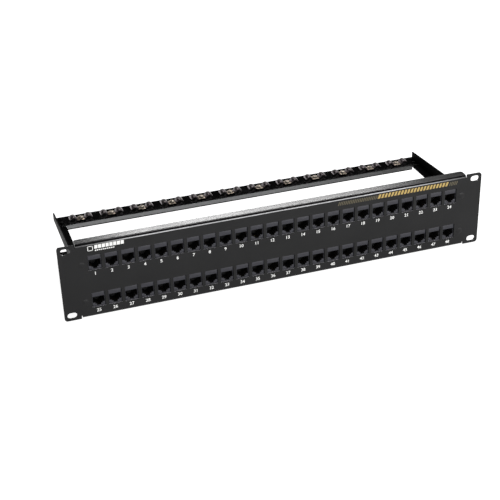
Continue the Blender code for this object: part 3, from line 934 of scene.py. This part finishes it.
front_pattern = jack_block("upper_front_jack_block_1", True)
rear_pattern = jack_block("upper_rear_jack_block_1", False)
print("front block faces:", len(front_pattern.polygons),
      "rear block faces:", len(rear_pattern.polygons))

# %% [markdown]
# ## Contact springs
# Eight gold-flashed springs lie side by side under the roof of each socket and
# slope down into it.  There are hundreds, so each is only a thin square bar, and
# one piece holds the springs of a block.

# %% Place jack blocks and contacts
SPRING_PITCH = 1.02 * MM
SPRING_SIZE = (0.42 * MM, 7.2 * MM, 0.3 * MM)
SPRING_SLOPE = math.radians(23.0)


def spring_comb(centre_x, centre_z, mouth_y, inward):
    """Make the springs of six sockets."""
    shape = bmesh.new()
    for port in range(6):
        for wire in range(8):
            x = centre_x + (port - 2.5) * PITCH + (wire - 3.5) * SPRING_PITCH
            spot = Matrix.Translation(
                (x, mouth_y + inward * 5.8 * MM, centre_z + TOP_OF_MOUTH - 1.5 * MM))
            tilt = Matrix.Rotation(-SPRING_SLOPE * inward, 4, "X")
            place = spot @ tilt @ Matrix.Diagonal((*SPRING_SIZE, 1.0))
            bmesh.ops.create_cube(shape, size=1.0, matrix=place)
    return shape


for row in ("upper", "lower"):
    for number in range(1, 5):
        for kind, pattern, inward in (("front", front_pattern, 1),
                                      ("rear", rear_pattern, -1)):
            node = f"{row}_{kind}_jack_block_{number}"
            low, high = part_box(node)
            x = (low.x + high.x) / 2
            z = (low.z + high.z) / 2
            block = place_pattern(pattern, (x, 0, z))
            finish_piece(block, f"{node}_moulding", jack_plastic,
                         [node], smooth=30, second=socket_shade_plastic)
            mouth_y = low.y if inward > 0 else high.y
            finish_piece(spring_comb(x, z, mouth_y, inward),
                         f"{node}_contact_springs", gold_flash)
print("jack blocks and springs placed")

# %% [markdown]
# ## Circuit boards
# A board joins each front block to the rear block behind it.  The CAD node's
# plate shape is right, so it stays and only gets the solder mask.  Two staggered
# rows of solder joints above the blocks and small chip parts below them fill the
# strips that show, since a bare board would look unfinished from behind.

# %% Boards, solder joints and chips
chip_body, tree, shader, coords = start_finish("ceramic_chip_part", "#5b4632", 0.5)
grain = add_node(tree, "ShaderNodeTexNoise",
                 {"Scale": cells(0.8), "Detail": 2.0}, {"Vector": coords})
shade = add_node(tree, "ShaderNodeMix",
                 {"data_type": "RGBA", 6: linear("#4a3826"), 7: linear("#6b543c")},
                 {0: grain.outputs["Fac"]})
tree.links.new(shade.outputs[2], shader.inputs["Base Color"])

JOINT_PITCH = 1.27 * MM
JOINT_LIFTS = (13.8 * MM, 12.0 * MM)
CHIP_DROP = 13.4 * MM
CHIP_SIDE = 3.2 * MM

for row in ("upper", "lower"):
    for number in range(1, 5):
        node = f"{row}_circuit_board_{number}"
        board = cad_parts[node]
        board.data.materials.clear()
        board.data.materials.append(solder_mask)
        low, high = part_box(node)
        x0 = (low.x + high.x) / 2
        z0 = (low.z + high.z) / 2
        joints = bmesh.new()
        chips = bmesh.new()
        for port in range(6):
            px = x0 + (port - 2.5) * PITCH
            for pin in range(8):
                spot = Matrix.Translation((px + (pin - 3.5) * JOINT_PITCH,
                                           high.y, z0 + JOINT_LIFTS[pin % 2]))
                bmesh.ops.create_icosphere(
                    joints, subdivisions=1, radius=0.5 * MM,
                    matrix=spot @ Matrix.Diagonal((1.0, 0.8, 1.0, 1.0)))
            for part in (-1, 1):
                cx = px + part * CHIP_SIDE
                cz = z0 - CHIP_DROP
                place_box(chips, (cx - 1.0 * MM, high.y - 0.05 * MM, cz - 0.6 * MM),
                          (cx + 1.0 * MM, high.y + 0.55 * MM, cz + 0.6 * MM))
                for end in (-1, 1):
                    ex = cx + end * 1.15 * MM
                    place_box(joints,
                              (ex - 0.25 * MM, high.y - 0.05 * MM, cz - 0.66 * MM),
                              (ex + 0.25 * MM, high.y + 0.6 * MM, cz + 0.66 * MM))
        finish_piece(joints, f"{node}_solder_joints", solder)
        finish_piece(chips, f"{node}_chip_parts", chip_body)
print("boards dressed")

# %% [markdown]
# ## Port numerals
# Every port has its number printed below it.  Text objects give the figures.
# Each is turned to face the front, made into a mesh, and all the figures of a
# row become one piece, because a screen prints them in one pass.

# %% Port numerals
INK = 0.03 * MM
CAPITAL_SHARE = 0.7
BOLDER = 0.08 * MM
FIGURE_HEIGHT = 3.6 * MM
FIGURE_DROP = 13.0 * MM
FIGURE_SHIFT = 0.6 * MM


def figure_shape(text, height, x, z):
    """Return a bmesh of a printed number centred on x, with its middle at z."""
    curve = bpy.data.curves.new("figure", "FONT")
    curve.body = text
    curve.align_x = "CENTER"
    curve.align_y = "CENTER"
    curve.size = height / CAPITAL_SHARE
    curve.offset = BOLDER
    curve.extrude = INK / 2
    curve.resolution_u = 3
    item = bpy.data.objects.new("figure", curve)
    bpy.context.scene.collection.objects.link(item)
    bpy.context.view_layer.update()
    seen = item.evaluated_get(bpy.context.evaluated_depsgraph_get())
    mesh = bpy.data.meshes.new_from_object(seen)
    bpy.data.objects.remove(item)
    shape = bmesh.new()
    shape.from_mesh(mesh)
    bmesh.ops.remove_doubles(shape, verts=shape.verts, dist=0.002 * MM)
    place = (Matrix.Translation((x, front - INK / 2, z))
             @ Matrix.Rotation(math.pi / 2, 4, "X"))
    bmesh.ops.transform(shape, matrix=place, verts=shape.verts)
    return shape


def join_into(target, source):
    """Pour one bmesh into another."""
    mesh = bpy.data.meshes.new("poured")
    source.to_mesh(mesh)
    source.free()
    target.from_mesh(mesh)
    bpy.data.meshes.remove(mesh)


for row, first in (("upper", 1), ("lower", 25)):
    low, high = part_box(f"{row}_front_jack_block_1")
    z = (low.z + high.z) / 2 - FIGURE_DROP
    figures = bmesh.new()
    for number in range(24):
        x = (number - 11.5) * PITCH - FIGURE_SHIFT
        join_into(figures, figure_shape(str(first + number), FIGURE_HEIGHT, x, z))
    finish_piece(figures, f"{row}_port_numerals", white_ink)
print("numerals printed at z", round(z / MM, 2))

# %% [markdown]
# ## Printed marks
# At the upper left there is a plain white tally strip: a check box, eight cells
# and a row of dashes under them.  At the upper right a row of slanted gold bars
# makes a plain decorative band, thinner and dimmer towards both ends.

# %% Tally strip and gold band
def ink_bar(shape, x, z, width, height, slant=0.0):
    """Add a flat printed bar, optionally leaning to the right."""
    verts = place_box(shape, (x - width / 2, front - INK, z - height / 2),
                      (x + width / 2, front + INK, z + height / 2))
    for vert in verts:
        vert.co.x += slant * (vert.co.z - z)


CELL_SLANT = 0.06
BOX_CENTRE = (-206.9, 37.2)
BOX_HALF, BOX_SIDE, BOX_LINE = 2.5, 5.7, 0.7
marks = bmesh.new()
for cell in range(8):
    ink_bar(marks, (-200.8 + 3.95 * cell) * MM, 38.3 * MM, 3.3 * MM, 4.2 * MM,
            CELL_SLANT)
for dash in range(10):
    ink_bar(marks, (-201.4 + 2.1 * dash) * MM, 34.2 * MM, 1.5 * MM, 1.3 * MM)
for dx, dz in ((-1, 0), (1, 0), (0, -1), (0, 1)):
    width, height = (BOX_LINE, BOX_SIDE) if dx else (BOX_SIDE, BOX_LINE)
    ink_bar(marks, (BOX_CENTRE[0] + BOX_HALF * dx) * MM,
            (BOX_CENTRE[1] + BOX_HALF * dz) * MM, width * MM, height * MM)
finish_piece(marks, "white_tally_strip", white_ink)

BAND_SLANT = 0.35
bright = bmesh.new()
dim = bmesh.new()
x = 68.0 * MM
# Each stretch has its end, its step and its bars' middle, width and height.
for shape, end, step, z, width, height in ((dim, 115.0, 2.1, 36.6, 1.0, 4.4),
                                           (bright, 199.0, 3.9, 37.0, 2.5, 4.9),
                                           (dim, 211.0, 2.1, 36.6, 1.0, 4.4)):
    while x < end * MM:
        ink_bar(shape, x, z * MM, width * MM, height * MM, BAND_SLANT)
        x += step * MM
finish_piece(bright, "gold_band_middle", gold_ink)
finish_piece(dim, "gold_band_ends", dim_gold_ink)
print("marks printed")

# %% [markdown]
# ## Floor
# The panel stands on a plain white floor that runs out of sight.  The floor is a
# lit tabletop: it glows, so it stays clean of hard shadows and its reflection
# fills every face that looks down at it.

# %% Floor
FLOOR_HALF = 30.0
FLOOR_GAP = 0.2 * MM
floor_finish, tree, shader, coords = start_finish("lit_white_tabletop", "#e8e8e8", 0.8)
haze = add_node(tree, "ShaderNodeTexNoise", {"Scale": 3.0, "Detail": 2.0},
                {"Vector": coords})
shade = add_node(tree, "ShaderNodeMix",
                 {"data_type": "RGBA", 6: linear("#e4e4e4"), 7: linear("#ececec")},
                 {0: haze.outputs["Fac"]})
tree.links.new(shade.outputs[2], shader.inputs["Base Color"])
shader.inputs["Emission Color"].default_value = (1.0, 1.0, 1.0, 1.0)
shader.inputs["Emission Strength"].default_value = 0.93
shape = bmesh.new()
bmesh.ops.create_grid(shape, x_segments=1, y_segments=1, size=FLOOR_HALF,
                      matrix=Matrix.Translation((0, 0, cad_low[2] - FLOOR_GAP)))
floor_mesh = bpy.data.meshes.new("floor")
shape.to_mesh(floor_mesh)
shape.free()
floor = bpy.data.objects.new("floor", floor_mesh)
bpy.context.scene.collection.objects.link(floor)
floor_mesh.materials.append(floor_finish)
print("floor at", round((cad_low[2] - FLOOR_GAP) / MM, 2), "mm")

# %% [markdown]
# ## Room and colour management
# The room is a world shader that depends only on height: pale walls up to a
# low line and a dark ceiling above it.  Pale walls carry the floor's white past
# the horizon, and the dark ceiling is why upward faces look black.  The standard
# view keeps the finishes as they were picked, without a film curve.

# %% Room
world = bpy.data.worlds.new("pale_walls_dark_ceiling")
bpy.context.scene.world = world
world.use_nodes = True
tree = world.node_tree
height = add_node(tree, "ShaderNodeSeparateXYZ", {},
                  {0: add_node(tree, "ShaderNodeTexCoord").outputs["Generated"]})
wall = add_node(tree, "ShaderNodeMapRange",
                {"From Min": 0.2, "From Max": 0.36, "To Min": 1.0, "To Max": 0.03},
                {"Value": height.outputs["Z"]})
tree.links.new(wall.outputs["Result"], tree.nodes["Background"].inputs["Strength"])
tree.nodes["Background"].inputs["Color"].default_value = (1.0, 1.0, 1.0, 1.0)
bpy.context.scene.view_settings.view_transform = "Standard"
bpy.context.scene.view_settings.look = "None"
print("room:", world.name)

# %% [markdown]
# ## Light
# A long soft panel stands low in front on the right and lights the whole front.
# A narrow strip high behind draws a thin line along the fold and the rims of the
# saddles.  Light linking then lets three more lights reach only the pieces that
# need them.  A hood above the plate is mirrored in its folded top, a rear fill
# shows the blocks and boards from behind, and a side fill greys the right arms.

# %% Lights
def panel_light(name, place, target, size, power):
    """Add a rectangular area light that looks at a target."""
    data = bpy.data.lights.new(name, "AREA")
    data.shape = "RECTANGLE"
    data.size, data.size_y = size
    data.energy = power
    lamp = bpy.data.objects.new(name, data)
    lamp.location = place
    aim = Vector(target) - Vector(place)
    lamp.rotation_euler = aim.to_track_quat("-Z", "Y").to_euler()
    bpy.context.scene.collection.objects.link(lamp)
    return lamp


def shine_only_on(lamp, pieces):
    """Limit a light to some pieces through a receiver collection."""
    receivers = bpy.data.collections.new(f"seen_by_{lamp.name}")
    for piece in pieces:
        receivers.objects.link(piece)
    lamp.light_linking.receiver_collection = receivers


meshes = [item for item in bpy.context.scene.objects if item.type == "MESH"]
rear_parts = [item for item in meshes if any(
    word in item.name for word in ("rear", "board", "nut", "solder", "chip"))]
side_parts = [item for item in meshes if "right_arm" in item.name]
panel_light("low_front_panel", (0.75, -2.0, 0.25), (0, 0, 0.03), (2.4, 0.6), 50.0)
shine_only_on(panel_light("near_hood", (0.11, 0.44, 0.335), (-0.09, 0.007, 0.044),
                          (0.44, 0.08), 3.7), [plate])
panel_light("high_rear_strip", (0.9, 1.4, 1.9), (0, 0.05, 0), (2.2, 0.4), 22.0)
shine_only_on(panel_light("rear_fill", (-0.7, 1.5, 0.5), (0, 0.03, 0),
                          (1.6, 0.8), 18.0), rear_parts)
shine_only_on(panel_light("right_side_fill", (1.6, 0.35, 0.35), (0.22, 0.06, 0.0),
                          (0.9, 0.7), 60.0), side_parts)
print("lights placed; the fills reach", len(rear_parts), "and", len(side_parts),
      "pieces")

# %% [markdown]
# ## Camera
# The camera stands to the left of the panel and looks down at it.  Its place is
# written as an angle around the panel, an angle above it and a distance.

# %% Camera
TARGET = Vector((-35.24, -1.6, 0.59)) * MM
AZIMUTH = math.radians(-17.79)
ELEVATION = math.radians(29.0)
ROLL = math.radians(-1.82)
DISTANCE = 1234.8 * MM
away = Vector((math.sin(AZIMUTH) * math.cos(ELEVATION),
               -math.cos(AZIMUTH) * math.cos(ELEVATION), math.sin(ELEVATION)))
camera_data = bpy.data.cameras.new("camera")
camera_data.sensor_width = 36.0
camera_data.lens = 82.45
camera = bpy.data.objects.new("camera", camera_data)
camera.location = TARGET + away * DISTANCE
turn = (-away).to_track_quat("-Z", "Y").to_matrix().to_4x4()
camera.rotation_euler = (turn @ Matrix.Rotation(ROLL, 4, "Z")).to_euler()
bpy.context.scene.collection.objects.link(camera)
bpy.context.scene.camera = camera
print("camera at", [round(v, 4) for v in camera.location])
